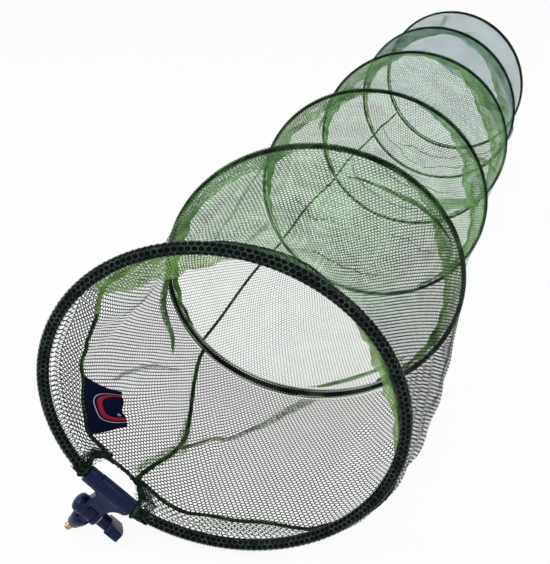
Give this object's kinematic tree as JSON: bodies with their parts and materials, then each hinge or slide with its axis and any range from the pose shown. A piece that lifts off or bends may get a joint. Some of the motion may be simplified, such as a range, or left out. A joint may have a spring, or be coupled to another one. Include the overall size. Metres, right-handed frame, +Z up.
{
  "type": "keep net",
  "caption": "Long round keep net of green mesh on six hoops, lying pulled out, with a navy tilting bank-stick block on its thick mouth hoop.",
  "frame": {"origin": "middle of the underside of the whole net as it lies pulled out on the floor", "axes": "+Y from the mouth to the closed end, +X to the right seen from the mouth, +Z up"},
  "size_m": [0.417, 1.881, 0.4105],
  "materials": {
    "black_rod": "glossy",
    "green_netting": "knitted mesh",
    "pale_netting": "knitted mesh, sheer",
    "navy_plastic": "satin moulded",
    "brass": "turned",
    "steel": "plated",
    "rubber": "matt",
    "navy_cloth": null
  },
  "bodies": {
    "mouth": {"mouth_hoop": "black_rod", "mouth_hem": "green_netting", "net_panel_1": "green_netting", "seam_1": "green_netting", "tag": "navy_cloth", "block_sleeve": "navy_plastic", "sleeve_collar": "navy_plastic", "pivot_bolt": "steel", "dome_cap": "navy_plastic", "friction_disc_left": "rubber", "friction_disc_right": "rubber"},
    "bay_2": {"hoop_2": "black_rod", "hem_2": "green_netting", "net_panel_2": "green_netting", "seam_2": "green_netting"},
    "bay_3": {"hoop_3": "black_rod", "hem_3": "green_netting", "net_panel_3": "green_netting", "seam_3": "green_netting"},
    "bay_4": {"hoop_4": "black_rod", "hem_4": "green_netting", "net_panel_4": "pale_netting", "seam_4": "green_netting"},
    "bay_5": {"hoop_5": "black_rod", "hem_5": "green_netting", "net_panel_5": "pale_netting", "seam_5": "green_netting"},
    "bay_6": {"hoop_6": "black_rod", "hem_6": "green_netting", "net_base": "pale_netting"},
    "foot": {"tilt_foot": "navy_plastic", "brass_stud": "brass"},
    "knob": {"locking_knob": "navy_plastic", "knob_washer": "steel"}
  },
  "joints": [
    {"name": "gather_bay_1", "type": "slide", "parent": "mouth", "child": "bay_2", "axis": [0, -1, 0], "range_m": [0, 0.24], "deforming": ["net_panel_1", "seam_1"]},
    {"name": "gather_bay_2", "type": "slide", "parent": "bay_2", "child": "bay_3", "axis": [0, -1, 0], "range_m": [0, 0.3], "deforming": ["net_panel_2", "seam_2"]},
    {"name": "gather_bay_3", "type": "slide", "parent": "bay_3", "child": "bay_4", "axis": [0, -1, 0], "range_m": [0, 0.35], "deforming": ["net_panel_3", "seam_3"]},
    {"name": "gather_bay_4", "type": "slide", "parent": "bay_4", "child": "bay_5", "axis": [0, -1, 0], "range_m": [0, 0.285], "deforming": ["net_panel_4", "seam_4"]},
    {"name": "gather_bay_5", "type": "slide", "parent": "bay_5", "child": "bay_6", "axis": [0, -1, 0], "range_m": [0, 0.245], "deforming": ["net_panel_5", "seam_5"]},
    {"name": "foot_tilt", "type": "hinge", "parent": "mouth", "child": "foot", "pos_m": [-0.16004, -0.9097, 0.04115], "axis": [0.6761, 0.1718, -0.7165], "range_deg": [-90, 90]},
    {"name": "knob_turn", "type": "hinge", "parent": "mouth", "child": "knob", "pos_m": [-0.16004, -0.9097, 0.04115], "axis": [0.6761, 0.1718, -0.7165], "continuous": true}
  ]
}
